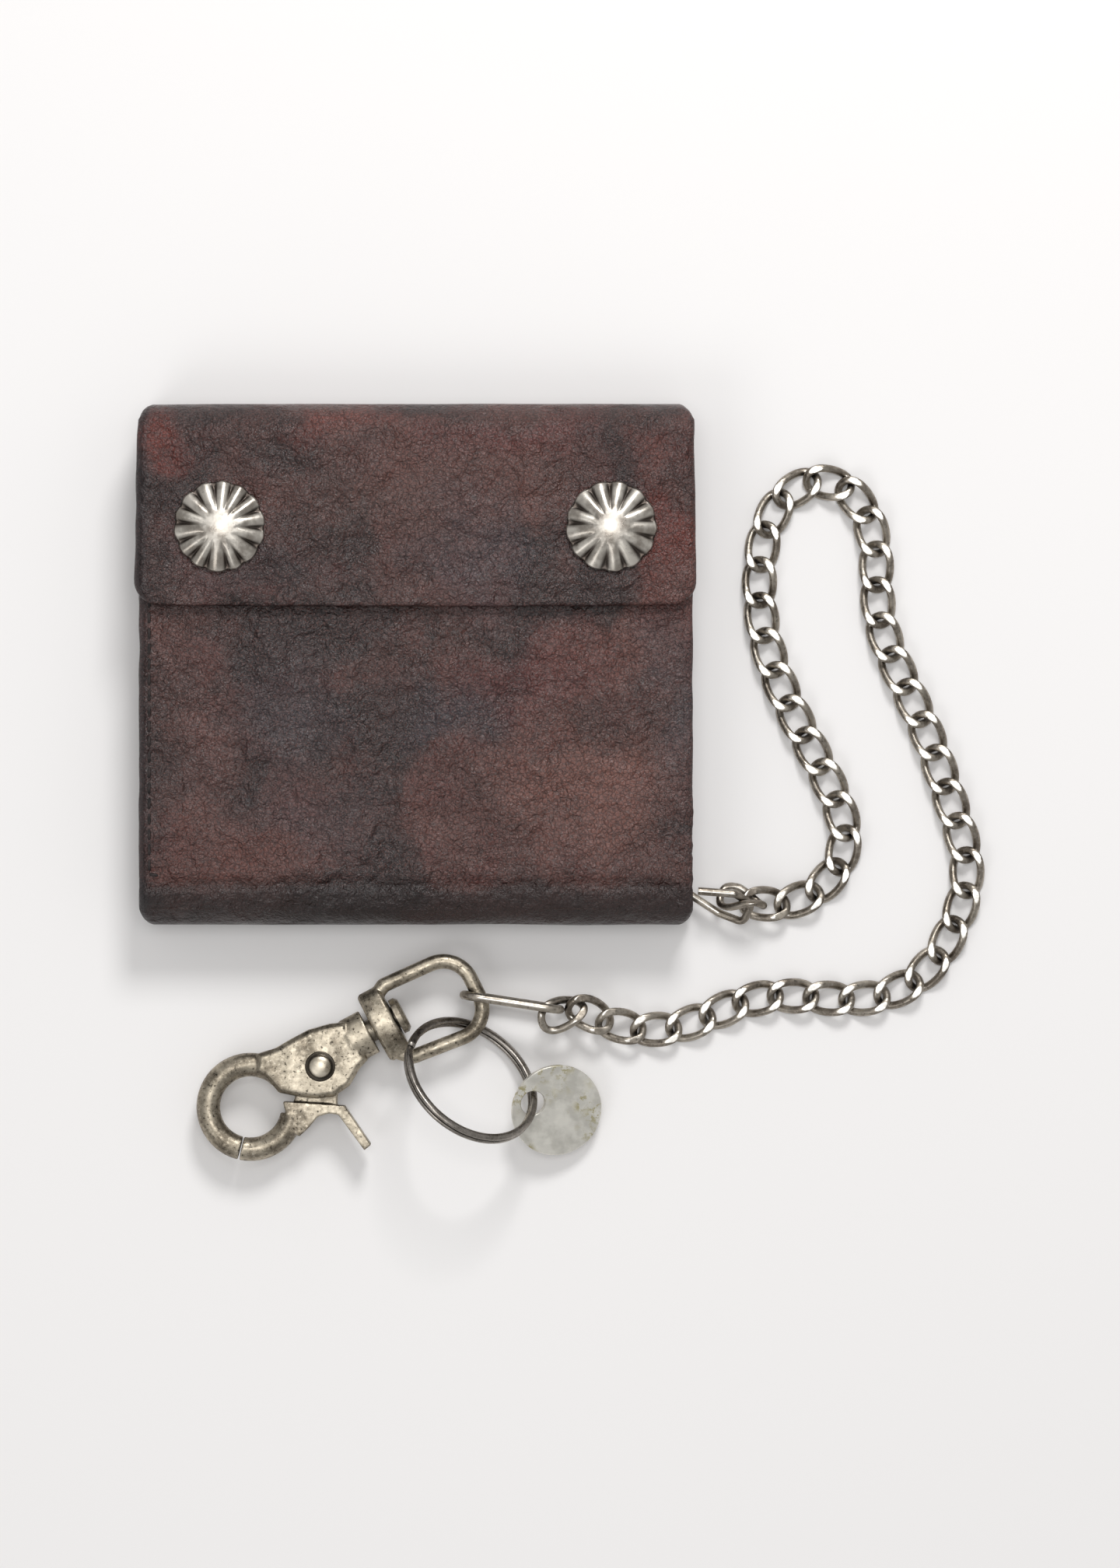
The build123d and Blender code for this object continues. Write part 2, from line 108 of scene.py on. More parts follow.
# ---------------------------------------------------------------- material helpers
class Graph:
    """Small helper that adds and joins shader nodes."""

    def __init__(self, name):
        self.material = bpy.data.materials.new(name)
        self.material.use_nodes = True
        self.tree = self.material.node_tree
        self.shader = self.tree.nodes["Principled BSDF"]

    def node(self, kind, inputs=None, **settings):
        made = self.tree.nodes.new(kind)
        for key, value in settings.items():
            setattr(made, key, value)
        for key, value in (inputs or {}).items():
            self.put(made.inputs[key], value)
        return made

    def put(self, socket, value):
        if isinstance(value, bpy.types.NodeSocket):
            self.tree.links.new(value, socket)
        elif isinstance(value, tuple) and len(value) == 3 and socket.type == "RGBA":
            socket.default_value = (*value, 1)
        else:
            socket.default_value = value

    def noise(self, where, scale, detail=4.0, rough=0.55, distortion=0.0):
        made = self.node("ShaderNodeTexNoise", {"Vector": where, "Scale": scale, "Detail": detail,
                                                "Roughness": rough, "Distortion": distortion})
        return made.outputs["Fac"]

    def cells(self, where, scale):
        made = self.node("ShaderNodeTexVoronoi", {"Vector": where, "Scale": scale},
                         feature="DISTANCE_TO_EDGE")
        return made.outputs["Distance"]

    def math(self, kind, a, b=0.0):
        return self.node("ShaderNodeMath", {0: a, 1: b}, operation=kind).outputs[0]

    def ramp(self, value, low, high, out_low=0.0, out_high=1.0):
        made = self.node("ShaderNodeMapRange", {"Value": value, "From Min": low, "From Max": high,
                                                "To Min": out_low, "To Max": out_high},
                         interpolation_type="SMOOTHSTEP")
        return made.outputs["Result"]

    def mix(self, share, a, b, kind="MIX"):
        made = self.node("ShaderNodeMix", data_type="RGBA", blend_type=kind)
        self.put(made.inputs["Factor"], share)
        self.put(made.inputs[6], a)
        self.put(made.inputs[7], b)
        return made.outputs[2]

    def bump(self, height, distance, strength=1.0, normal=None):
        inputs = {"Height": height, "Distance": distance, "Strength": strength}
        if normal is not None:
            inputs["Normal"] = normal
        return self.node("ShaderNodeBump", inputs).outputs["Normal"]

    def set(self, **inputs):
        for key, value in inputs.items():
            self.put(self.shader.inputs[key.replace("_", " ")], value)
        return self.material


def srgb(r, g, b):
    """Linear colour of an 8-bit one."""
    return tuple(((c / 255 + 0.055) / 1.055) ** 2.4 if c > 10 else c / 3294.6 for c in (r, g, b))


def place_input(g):
    """Coordinates in millimetres, kept in the mesh's rest attribute."""
    return g.node("ShaderNodeAttribute", attribute_name="rest").outputs["Vector"]


def patch(g, where, centre, size, strength=1.0):
    """Soft patch around a centre, in mm, from 0 to strength."""
    moved = g.node("ShaderNodeVectorMath", {0: where, 1: centre}, operation="SUBTRACT").outputs[0]
    scaled = g.node("ShaderNodeVectorMath", {0: moved, 1: tuple(1 / s for s in size)},
                    operation="MULTIPLY").outputs[0]
    far = g.node("ShaderNodeVectorMath", {0: scaled}, operation="LENGTH").outputs["Value"]
    return g.ramp(far, 1.25, 0.15, 0.0, strength)


def leather_material(name, patches=(), base=(30, 19, 19), lighter=(88, 64, 59)):
    g = Graph(name)
    where = place_input(g)
    wander = g.node("ShaderNodeTexNoise", {"Vector": where, "Scale": 0.07, "Detail": 3.0})
    shift = g.node("ShaderNodeVectorMath", {0: wander.outputs["Color"], 1: (0.5, 0.5, 0.5)},
                   operation="SUBTRACT").outputs[0]
    spread = g.node("ShaderNodeVectorMath", {0: shift, "Scale": 26.0}, operation="SCALE").outputs[0]
    bent = g.node("ShaderNodeVectorMath", {0: where, 1: spread}, operation="ADD").outputs[0]
    ripple = g.node("ShaderNodeTexNoise", {"Vector": where, "Scale": 0.45, "Detail": 3.0})
    drift = g.node("ShaderNodeVectorMath", {0: ripple.outputs["Color"], "Scale": 3.0},
                   operation="SCALE").outputs[0]
    wavy = g.node("ShaderNodeVectorMath", {0: where, 1: drift}, operation="ADD").outputs[0]
    cloud = g.noise(bent, 0.035, 3.0)
    colour = g.mix(g.ramp(cloud, 0.38, 0.66), srgb(*base), srgb(*lighter))
    reddish = g.ramp(g.noise(bent, 0.06, 4.0, 0.6), 0.5, 0.68, 0.0, 0.5)
    colour = g.mix(reddish, colour, srgb(80, 42, 38))
    mottle = g.ramp(g.noise(where, 0.32, 5.0, 0.7), 0.3, 0.62, 0.6, 1.0)
    for centre, size, tint, strength in patches:
        share = g.math("MULTIPLY", patch(g, bent, centre, size, strength), mottle)
        colour = g.mix(share, colour, srgb(*tint))
    grain = g.cells(where, 1.15)
    fine = g.noise(where, 2.6, 5.0, 0.65)
    cracks = g.ramp(g.cells(wavy, 0.62), 0.0, 0.09)
    crack_area = g.ramp(g.noise(where, 0.05, 2.0), 0.42, 0.6)
    cracked = g.math("MULTIPLY", g.math("SUBTRACT", 1.0, cracks), crack_area)
    colour = g.mix(g.ramp(grain, 0.0, 0.2, 0.6, 0.0), colour, srgb(12, 8, 8))
    # Painted highlight: the fine noise lightens the colour in specks that stand in for the glossy
    # sheen on the pebble tops.
    colour = g.mix(g.ramp(fine, 0.45, 0.75, 0.0, 0.5), colour, srgb(124, 98, 92))
    colour = g.mix(g.math("MULTIPLY", cracked, 0.3), colour, srgb(16, 10, 10))
    colour = g.mix(1.0, colour, (1.05, 0.8, 0.76), "MULTIPLY")
    spot = g.node("ShaderNodeSeparateXYZ", {0: where})
    # Painted shade: the leather darkens from Y -45.5 to -49 and stays dark below, over the spine
    # fold that turns away from the light; the line wanders a little.
    uneven = g.ramp(g.noise(where, 0.06, 3.0), 0.3, 0.7, -1.6, 1.6)
    spine_shade_line = g.math("ADD", spot.outputs["Y"], uneven)
    colour = g.mix(g.ramp(spine_shade_line, -45.5, -49.0, 0.0, 0.72), colour, srgb(24, 14, 13))
    colour = g.mix(g.ramp(spot.outputs["X"], -56.0, -58.6, 0.0, 0.6), colour, srgb(40, 36, 38))
    pebble = g.math("MINIMUM", grain, 0.3)
    height = g.math("ADD", g.math("MULTIPLY", pebble, 0.45), g.math("MULTIPLY", fine, 0.22))
    height = g.math("SUBTRACT", height, g.math("MULTIPLY", cracked, 0.12))
    normal = g.bump(g.noise(wavy, 0.13, 5.0, 0.55), 4.0 * MM, 0.9)
    normal = g.bump(height, 0.5 * MM, 0.9, normal)
    gloss = g.ramp(g.noise(bent, 0.08, 3.0), 0.35, 0.7, 0.26, 0.42)
    g.set(Base_Color=colour, Roughness=gloss, Normal=normal)
    g.shader.inputs["Specular IOR Level"].default_value = 0.5
    return g.material


SLATE, OXBLOOD, RUST, TAN = (60, 62, 68), (92, 46, 44), (108, 48, 36), (122, 92, 82)
# Stained and worn places of the outer leather: centre, size, tint and strength.
outer_patches = [
    ((-27, -10, 18), (14, 16, 30), SLATE, 0.75), ((7, -9, 18), (16, 10, 30), (50, 50, 58), 0.8),
    ((56, -10, 18), (9, 26, 30), SLATE, 0.75), ((27, -2, 18), (22, 10, 30), OXBLOOD, 0.6),
    ((36, -27, 18), (24, 16, 30), TAN, 0.6), ((-22, -33, 18), (16, 12, 30), (72, 68, 72), 0.6),
    ((-46, -12, 18), (10, 30, 30), (96, 72, 68), 0.5),
    ((-38, -41, 18), (24, 6, 30), (92, 58, 50), 0.6),
    ((40, 0, 18), (18, 10, 30), (112, 80, 72), 0.5),
    ((12, 24, 20), (14, 14, 30), (58, 62, 70), 0.6),
    ((-55, 47, 20), (7, 8, 30), RUST, 0.75), ((-18, 53, 16), (20, 5, 30), RUST, 0.6),
    ((22, 49, 20), (22, 6, 30), OXBLOOD, 0.6), ((52, 26, 20), (8, 12, 30), RUST, 0.7),
    ((52, 44, 20), (8, 7, 30), (100, 54, 46), 0.6), ((-8, 34, 20), (22, 10, 30), (74, 64, 60), 0.5),
    ((-38, 20, 20), (20, 8, 30), (60, 54, 58), 0.5),
]
outer = leather_material("leather_outer", outer_patches)
lining = leather_material("leather_lining", base=(58, 38, 30), lighter=(88, 60, 46))


def plain_material(name, colour, dark, roughness, scale):
    """Simple two-tone finish with fine roughness."""
    g = Graph(name)
    where = g.node("ShaderNodeTexCoord").outputs["Object"]
    tone = g.noise(where, scale, 4.0)
    colour = g.mix(g.ramp(tone, 0.35, 0.65), srgb(*dark), srgb(*colour))
    rough = g.ramp(tone, 0.3, 0.7, roughness + 0.1, roughness - 0.1)
    g.set(Base_Color=colour, Roughness=rough, Normal=g.bump(tone, 0.05 * MM, 0.5))
    return g.material


RECESS = 1.2                    # reach of the dark patina in corners, mm


def metal_material(name, bright, dull, dark, speckle, rough=(0.28, 0.5), flats=False):
    """Antique metal: brighter where rubbed, dark in recesses, speckled with patina."""
    g = Graph(name)
    where = g.node("ShaderNodeTexCoord").outputs["Object"]
    cloud = g.noise(where, 160.0, 5.0, 0.65)
    specks = g.noise(where, 1300.0, 4.0, 0.7)
    colour = g.mix(g.ramp(cloud, 0.36, 0.64), srgb(*dull), srgb(*bright))
    brightest = srgb(*(min(255, c + 34) for c in bright))
    colour = g.mix(g.ramp(specks, 0.46, 0.3, 0.0, 0.5), colour, brightest)
    colour = g.mix(g.ramp(specks, 0.54, 0.68, 0.0, speckle), colour, srgb(*dark))
    near = g.node("ShaderNodeAmbientOcclusion", {"Distance": RECESS * MM}, samples=8,
                  only_local=False)
    colour = g.mix(g.ramp(near.outputs["AO"], 0.85, 0.35, 0.0, 0.85), colour, srgb(*dark))
    roughness = g.ramp(g.noise(where, 700.0, 4.0), 0.3, 0.7, rough[0], rough[1])
    if flats:
        facing = g.node("ShaderNodeNewGeometry").outputs["Normal"]
        normal_z = g.node("ShaderNodeSeparateXYZ", {0: facing})
        level = g.math("ABSOLUTE", normal_z.outputs["Z"])
        flat = g.ramp(level, 0.985, 0.997)
        drawn = g.node("ShaderNodeMapping", {"Vector": where, "Scale": (1.0, 5.0, 1.0)}).outputs[0]
        brushed = g.noise(drawn, 1400.0, 4.0, 0.7)
        face = g.mix(g.ramp(brushed, 0.35, 0.7), srgb(206, 202, 194), srgb(246, 244, 240))
        colour = g.mix(flat, colour, face)
    height = g.math("ADD", g.math("MULTIPLY", cloud, 0.6), g.math("MULTIPLY", specks, 0.25))
    g.set(Base_Color=colour, Roughness=roughness, Normal=g.bump(height, 0.06 * MM, 0.6))
    g.shader.inputs["Metallic"].default_value = 1.0
    return g.material


chain_metal = metal_material("chain_metal", (176, 168, 156), (128, 119, 108), (48, 42, 38), 0.6,
                             flats=True)
snap_metal = metal_material("snap_metal", (184, 174, 156), (122, 113, 99), (38, 33, 28), 0.9,
                            (0.32, 0.52))
ring_metal = metal_material("ring_metal", (156, 150, 143), (128, 122, 115), (44, 40, 37), 0.4,
                            (0.24, 0.4))
brass = metal_material("brass", (196, 164, 104), (150, 122, 76), (60, 46, 30), 0.4)
thread = plain_material("thread", (44, 34, 32), (18, 14, 14), 0.7, 900.0)


def tag_material():
    """Worn plain nickel with a few yellow stains and fine scratches."""
    g = Graph("tag_nickel")
    where = g.node("ShaderNodeTexCoord").outputs["Object"]
    specks = g.noise(where, 420.0, 5.0, 0.7)
    zone = g.ramp(g.noise(where, 90.0, 3.0), 0.45, 0.6)
    stain = g.math("MULTIPLY", g.ramp(specks, 0.5, 0.58), zone)
    cloud = g.ramp(g.noise(where, 200.0), 0.4, 0.6)
    colour = g.mix(cloud, srgb(204, 201, 192), srgb(226, 223, 214))
    colour = g.mix(g.math("MULTIPLY", stain, 0.75), colour, srgb(150, 138, 66))
    drawn = g.node("ShaderNodeMapping", {"Vector": where, "Scale": (1.0, 9.0, 1.0),
                                         "Rotation": (0, 0, 0.6)}).outputs[0]
    scratches = g.noise(drawn, 900.0, 3.0)
    normal = g.bump(g.math("ADD", specks, g.math("MULTIPLY", scratches, 0.6)), 0.035 * MM, 0.6)
    g.set(Base_Color=colour, Roughness=g.ramp(specks, 0.3, 0.7, 0.34, 0.52), Normal=normal)
    g.shader.inputs["Metallic"].default_value = 0.75
    return g.material


tag_finish = tag_material()

floor_graph = Graph("floor")
floor_where = floor_graph.node("ShaderNodeTexCoord").outputs["Object"]
floor_tone = floor_graph.mix(floor_graph.noise(floor_where, 3.0), srgb(237, 235, 234),
                             srgb(239, 237, 236))
floor_graph.set(Base_Color=floor_tone, Roughness=0.9)
floor_mesh = bpy.data.meshes.new("floor")
FLOOR_REACH, FLOOR_Z = 3, -0.0002
floor_corners = [(i * FLOOR_REACH, j * FLOOR_REACH, FLOOR_Z)
                 for i, j in ((-1, -1), (1, -1), (1, 1), (-1, 1))]
floor_mesh.from_pydata(floor_corners, [], [(0, 1, 2, 3)])
floor_mesh.materials.append(floor_graph.material)
floor = bpy.data.objects.new("floor", floor_mesh)
bpy.context.collection.objects.link(floor)


# ---------------------------------------------------------------- mesh helpers
def make_object(name, verts_mm, faces, material):
    """A smooth-shaded object from points in mm, which also keeps them as its rest attribute."""
    mesh = bpy.data.meshes.new(name)
    mesh.from_pydata([tuple(c * MM for c in v) for v in verts_mm], [], faces)
    bm = bmesh.new()
    bm.from_mesh(mesh)
    bmesh.ops.recalc_face_normals(bm, faces=bm.faces)
    bm.to_mesh(mesh)
    bm.free()
    rest = mesh.attributes.new("rest", "FLOAT_VECTOR", "POINT")
    rest.data.foreach_set("vector", [c for v in verts_mm for c in v])
    mesh.polygons.foreach_set("use_smooth", [True] * len(mesh.polygons))
    mesh.materials.append(material)
    obj = bpy.data.objects.new(name, mesh)
    bpy.context.collection.objects.link(obj)
    return obj


def steps(start, end, pitch):
    """Even steps from start to end, both included."""
    count = max(1, round(abs(end - start) / pitch))
    return [start + (end - start) * i / count for i in range(count + 1)]


def swell(x, y, seed, scale, amount):
    """Slow hills and hollows of a used sheet of leather."""
    return amount * noise.noise(Vector((x / scale, y / scale, seed)))


# ---------------------------------------------------------------- leather cover
HALF_W, HALF_L, TOP_Z, LEATHER = 59.4, 55.8, 20.8, 1.8
FRONT_TOP, FLAP_TIP, FRONT_END = 18.2, 12.6, 52.8
TOP_ROUND, SPINE_ROUND, TIP_CORNER = 8.0, 9.0, 5.0
TOP_JOIN, SPINE_JOIN = 10.4, 9.1            # heights where the strips meet inside the two folds
COLUMN_STEP, INNER_STEP = 0.0145, 0.11      # shares of the half width between columns
EDGE = ((0.0, -0.9), (-0.16, -0.55), (-0.55, -0.2), (-1.1, -0.03))   # inward step, depth
EDGE_SPAN = 1.1
CUT_ROUND = 0.9                             # length over which a cut end is rounded
TIP_ROWS = (0.0, 0.12, 0.4)                 # rows that round a cut end, from the end


def arc(cy, cz, radius, start, end, pitch=0.9):
    """Points of an arc with their outward directions; angles in degrees from +Y towards +Z."""
    return [((cy + radius * math.cos(a), cz + radius * math.sin(a)), (math.cos(a), math.sin(a)))
            for a in (math.radians(v) for v in steps(start, end, math.degrees(pitch / radius)))]


def line(y0, z0, y1, z1, out, pitch=1.0):
    """Points of a straight run, all with the same outward direction."""
    count = max(1, round(math.hypot(y1 - y0, z1 - z0) / pitch))
    return [((y0 + (y1 - y0) * i / count, z0 + (z1 - z0) * i / count), out)
            for i in range(count + 1)]


def joined(*runs):
    points = list(runs[0])
    for run in runs[1:]:
        points += run[1:]
    return points


def front_drop(y):
    """The front sinks beside the crease and rolls away into the spine."""
    below = max(0.0, min(1.0, (-44.5 - y) / 3.2))
    return 0.8 * below * below * (3 - 2 * below)


top_y, top_z = HALF_L - TOP_ROUND, TOP_Z - TOP_ROUND      # centre of the flap's round
spine_y = -HALF_L + SPINE_ROUND
flap_run = joined(line(FLAP_TIP, TOP_Z, top_y, TOP_Z, (0, 1), 0.9),
                  arc(top_y, top_z, TOP_ROUND, 90, 0),
                  line(HALF_L, top_z, HALF_L, TOP_JOIN, (1, 0)))
top_run = joined(line(HALF_L, TOP_JOIN, HALF_L, TOP_ROUND, (1, 0)),
                 arc(top_y, TOP_ROUND, TOP_ROUND, 0, -90),
                 line(top_y, 0, 0, 0, (0, -1), 2.0))
spine_run = joined(line(0, 0, spine_y, 0, (0, -1), 2.0),
                   arc(spine_y, SPINE_ROUND, SPINE_ROUND, -90, -180),
                   line(-HALF_L, SPINE_ROUND, -HALF_L, SPINE_JOIN, (-1, 0)))
front_run = joined(line(-HALF_L, SPINE_JOIN, -HALF_L, FRONT_TOP - SPINE_ROUND, (-1, 0)),
                   arc(spine_y, FRONT_TOP - SPINE_ROUND, SPINE_ROUND, 180, 90),
                   line(spine_y, FRONT_TOP, FRONT_END, FRONT_TOP, (0, 1), 0.9))


def half_width(y, z):
    """Half the sheet's width: the flap is a little wider low down than at the fold."""
    fold = max(0.0, abs(y) - HALF_L + 3.2) / 3.4          # rounded corners where the sheet folds
    pulled_in = 2.6 * (1 - math.sqrt(max(0.0, 1 - fold * fold)))
    if z > 19.0:
        return HALF_W + 0.45 * max(0.0, min(1.0, (48 - y) / 30)) - pulled_in
    return HALF_W - 0.25 - pulled_in


def relief(x, y, z):
    """Bulges and creases, from the wear of the real thing, in mm along the outward direction."""
    level = swell(x, y, 3.1, 17.0, 0.32) + swell(x, y, 7.7, 7.0, 0.12)
    if z > 19.5 and y > FLAP_TIP:                    # flap
        phase = (x * 0.8 + y * 0.6) * 0.9 + 3 * noise.noise(Vector((x / 12, y / 12, 1)))
        grown = max(0.0, noise.noise(Vector((x / 22, y / 16, 5.0))) + 0.25)
        level += 0.10 * math.sin(phase) * grown
        level -= 0.35 * math.exp(-((x - 2) ** 2 / 500 + (y - 30) ** 2 / 160))
    elif z > 15:                                     # front
        curl = x + 36 - 0.012 * (y + 4) ** 2 * (1 if y > -4 else -1) * 0.6
        level -= 0.38 * math.exp(-(curl / 1.6) ** 2) * max(0.0, min(1.0, (y + 32) / 14)) \
            * max(0.0, min(1.0, (12 - y) / 8))
        across = (y + 3) - 0.55 * (x - 26)
        level -= 0.25 * math.exp(-(across / 2.6) ** 2) * max(0.0, 1 - abs(x - 28) / 22)
        level += 0.3 * math.exp(-((x - 44) ** 2 / 260 + (y + 12) ** 2 / 500))
        level -= front_drop(y)
        if x > 50 and y < -24:
            level -= 0.35 * (0.5 + noise.noise(Vector((x / 3, y / 5, 9)))) * (x - 50) / 9
    else:                                            # folds and back
        level *= 0.8
    return level


def strip_rows(run, tip):
    """Rows of a strip: point, outward direction, and distance along it, from any cut end."""
    lengths = [0.0]
    for (p, _), (q, _) in zip(run, run[1:]):
        lengths.append(lengths[-1] + math.hypot(q[0] - p[0], q[1] - p[1]))
    total = lengths[-1]
    rows = [(point, out, along if tip <= 0 else total - along)
            for (point, out), along in zip(run, lengths)]
    if not tip:
        return rows
    (y0, z0), out, _ = rows[0 if tip < 0 else -1]
    fresh = [((y0 - tip * d, z0), out, d) for d in TIP_ROWS]
    return fresh + rows[1:] if tip < 0 else rows[:-1] + fresh[::-1]


def strip_section(reach):
    """Closed section of the sheet at one row: places across it and their depth, in mm."""
    half = reach - EDGE_SPAN
    loop = [(share * half, 0.0) for share in steps(-1.0, 1.0, COLUMN_STEP)]
    loop += [(reach + step, depth) for step, depth in EDGE[::-1][1:]]
    loop += [(reach + step, -LEATHER - depth) for step, depth in EDGE[1:]]
    loop += [(share * half, -LEATHER) for share in steps(1.0, -1.0, INNER_STEP)]
    loop += [(-(reach + step), -LEATHER - depth) for step, depth in EDGE[::-1][1:]]
    loop += [(-(reach + step), depth) for step, depth in EDGE[1:]]
    return loop


def leather_strip(name, run, tip=0, tip_corner=0.0):
    """One strip of the cover: closed loops around the sheet's section, along a run of rows.

    tip is -1 or 1 where the first or the last row is a cut edge of the leather.
    """
    verts, faces = [], []
    for (y, z), (oy, oz), along in strip_rows(run, tip):
        reach = half_width(y, z)
        thin = 1.0
        if tip:
            if along < tip_corner:
                square = max(0.0, tip_corner ** 2 - (tip_corner - along) ** 2)
                reach -= tip_corner - math.sqrt(square)
            if along < CUT_ROUND:
                thin = math.sqrt(max(0.0, 1 - ((CUT_ROUND - along) / CUT_ROUND) ** 2)) * 0.7 + 0.3
        flat_top = abs(oz) >= 0.99 and z >= 5
        loop = strip_section(reach)
        size = len(loop)
        base = len(verts)
        for x, depth in loop:
            depth = -LEATHER / 2 + (depth + LEATHER / 2) * thin
            wavy = relief(x, y, z) if flat_top else swell(x, y + z * 1.7, 3.1, 17.0, 0.2)
            fade = max(0.0, min(1.0, (reach + 1.5 - abs(x)) / 7)) if z > 15 else 0.8
            level = depth + wavy * (0.45 + 0.55 * fade)
            shift = 0.0
            if tip < 0 and along < 14:           # the flap's lower edge wanders a little
                shift = (0.35 * noise.noise(Vector((x / 15, 0, 2)))
                         - 0.35 * math.cos(x / 38)) * (1 - along / 14)
            side = 0.0
            if z > 15 and abs(x) > reach - 1.2:  # cut edges are never quite straight
                side = 0.28 * noise.noise(Vector((math.copysign(4, x), y / 7, z / 9)))
                if x > 0 and y < -26 and z < 19:
                    side += 0.35 * noise.noise(Vector((1, y / 1.2, depth)))
            verts.append((x + side, y + oy * level + shift, z + oz * level))
        if base:
            for i in range(size):
                j = (i + 1) % size
                faces.append((base - size + i, base - size + j, base + j, base + i))
    faces.append(tuple(range(size)))
    faces.append(tuple(range(len(verts) - size, len(verts))))
    piece = make_object(name, verts, faces, outer)
    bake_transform(piece)
    return piece


flap_strip = leather_strip("leather_flap", flap_run,
                           -1, TIP_CORNER)
back_top = leather_strip("leather_back_upper", top_run)
back_low = leather_strip("leather_back_lower", spine_run)
front_strip = leather_strip("leather_front", front_run,
                            1, 4.5)
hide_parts("flap_panel", "top_fold")
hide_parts("back_cover", "spine_fold")
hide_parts("front_panel")


# ---------------------------------------------------------------- linings and margins inside
SHEET_STEP = 2.4


def inner_sheet(name, node, body, boxes, hole=None, seed=1.0):
    """Thin leather sheets with soft edges; boxes are (x0, x1, y0, y1, z0, z1) in mm."""
    verts, faces = [], []
    for x0, x1, y0, y1, z0, z1 in boxes:
        thick = z1 - z0
        round_edge = min(0.4, thick * 0.35)
        inset = [(round_edge, 0.0), (round_edge * 0.3, round_edge * 0.3), (0.0, round_edge),
                 (0.0, thick - round_edge), (round_edge * 0.3, thick - round_edge * 0.3),
                 (round_edge, thick)]
        xs = steps(x0 + round_edge, x1 - round_edge, SHEET_STEP)
        ys = steps(y0 + round_edge, y1 - round_edge, SHEET_STEP)
        rim = [(x, ys[0], 0, -1) for x in xs] + [(xs[-1], y, 1, 0) for y in ys] \
            + [(x, ys[-1], 0, 1) for x in xs[::-1]] + [(xs[0], y, -1, 0) for y in ys[::-1]]
        base = len(verts)

        def point(x, y, z):
            move = swell(x, y, seed, 12.0, 0.12)
            verts.append((x, y, z + move * 0.8))

        for step, up in inset:
            for x, y, ox, oy in rim:
                point(x + ox * (round_edge - step), y + oy * (round_edge - step), z0 + up)
        n = len(rim)
        for level in range(len(inset) - 1):
            for i in range(n):
                j = (i + 1) % n
                low_ring, high_ring = base + level * n, base + (level + 1) * n
                faces.append((low_ring + i, low_ring + j, high_ring + j, high_ring + i))
        for level, z in ((0, z0), (len(inset) - 1, z1)):
            grid = {}
            for a, x in enumerate(xs):
                for b, y in enumerate(ys):
                    grid[a, b] = len(verts)
                    point(x, y, z)
            for a in range(len(xs) - 1):
                for b in range(len(ys) - 1):
                    mid = ((xs[a] + xs[a + 1]) / 2, (ys[b] + ys[b + 1]) / 2)
                    if hole and math.hypot(mid[0] - hole[0], mid[1] - hole[1]) < hole[2]:
                        continue
                    faces.append((grid[a, b], grid[a + 1, b], grid[a + 1, b + 1], grid[a, b + 1]))
    piece = make_object(name, verts, faces, lining)
    bm = bmesh.new()
    bm.from_mesh(piece.data)
    bmesh.ops.remove_doubles(bm, verts=bm.verts, dist=0.00002)
    bmesh.ops.recalc_face_normals(bm, faces=bm.faces)
    bm.to_mesh(piece.data)
    bm.free()
    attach(piece, body)
    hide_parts(node)
    return piece


def node_box(node):
    low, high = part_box(node)
    return (low[0] / MM, high[0] / MM, low[1] / MM, high[1] / MM, low[2] / MM, high[2] / MM)


EYELET, EYELET_HOLE = (53.2, -45.6), 3.3
RING_SIDE_X = 37.0              # the lower margin stops here, clear of the ring
inner_sheet("bill_lining", "bill_pocket_lining", "back_half", [node_box("bill_pocket_lining")],
            (*EYELET, EYELET_HOLE), 1.0)
wx0, wx1, wy0, wy1, wz0, wz1 = node_box("bill_pocket_welt")
WELT = 5.0
inner_sheet("bill_margin", "bill_pocket_welt", "back_half",
            [(wx0, wx0 + WELT, wy0, wy1, wz0, wz1),
             (wx0 + WELT, RING_SIDE_X, wy0, wy0 + WELT, wz0, wz1),
             (wx0 + WELT, wx1, wy1 - WELT, wy1, wz0, wz1)], seed=2.0)
for number in (1, 2):
    inner_sheet(f"card_pocket_leather_{number}", f"card_pocket_{number}", "back_half",
                [node_box(f"card_pocket_{number}")], seed=3.0 + number)
cx0, cx1, cy0, cy1, cz0, cz1 = node_box("coin_pocket_welt")
inner_sheet("coin_margin", "coin_pocket_welt", "front_half",
            [(cx0, cx0 + WELT, cy0 + WELT, cy1, cz0, cz1),
             (cx1 - WELT, cx1, cy0 + WELT, cy1, cz0, cz1),
             (cx0, cx1, cy0, cy0 + WELT, cz0, cz1)], seed=6.0)
inner_sheet("coin_lining", "coin_pocket_lining", "front_half", [node_box("coin_pocket_lining")],
            seed=7.0)


# ---------------------------------------------------------------- stitching
def tube(points, radius, sides=8):
    """Closed tube with rounded ends along points, in mm."""
    verts, faces = [], []
    count = len(points)
    for i, p in enumerate(points):
        ahead = Vector(points[min(i + 1, count - 1)]) - Vector(points[max(i - 1, 0)])
        ahead.normalize()
        upright = Vector((0, 0, 1)) if abs(ahead.z) < 0.9 else Vector((1, 0, 0))
        side = ahead.cross(upright).normalized()
        up = side.cross(ahead)
        width = radius * (0.45 if i in (0, count - 1) else 1.0)
        for s in range(sides):
            a = 2 * math.pi * s / sides
            around = side * (width * math.cos(a)), up * (width * math.sin(a))
            verts.append(tuple(Vector(p) + around[0] + around[1]))
    for i in range(count - 1):
        for s in range(sides):
            t = (s + 1) % sides
            faces.append((i * sides + s, i * sides + t, (i + 1) * sides + t, (i + 1) * sides + s))
    faces.append(tuple(range(sides))[::-1])
    faces.append(tuple(range((count - 1) * sides, count * sides)))
    return verts, faces


STITCH_PITCH, STITCH_LENGTH, THREAD_RADIUS = 3.3, 2.5, 0.33


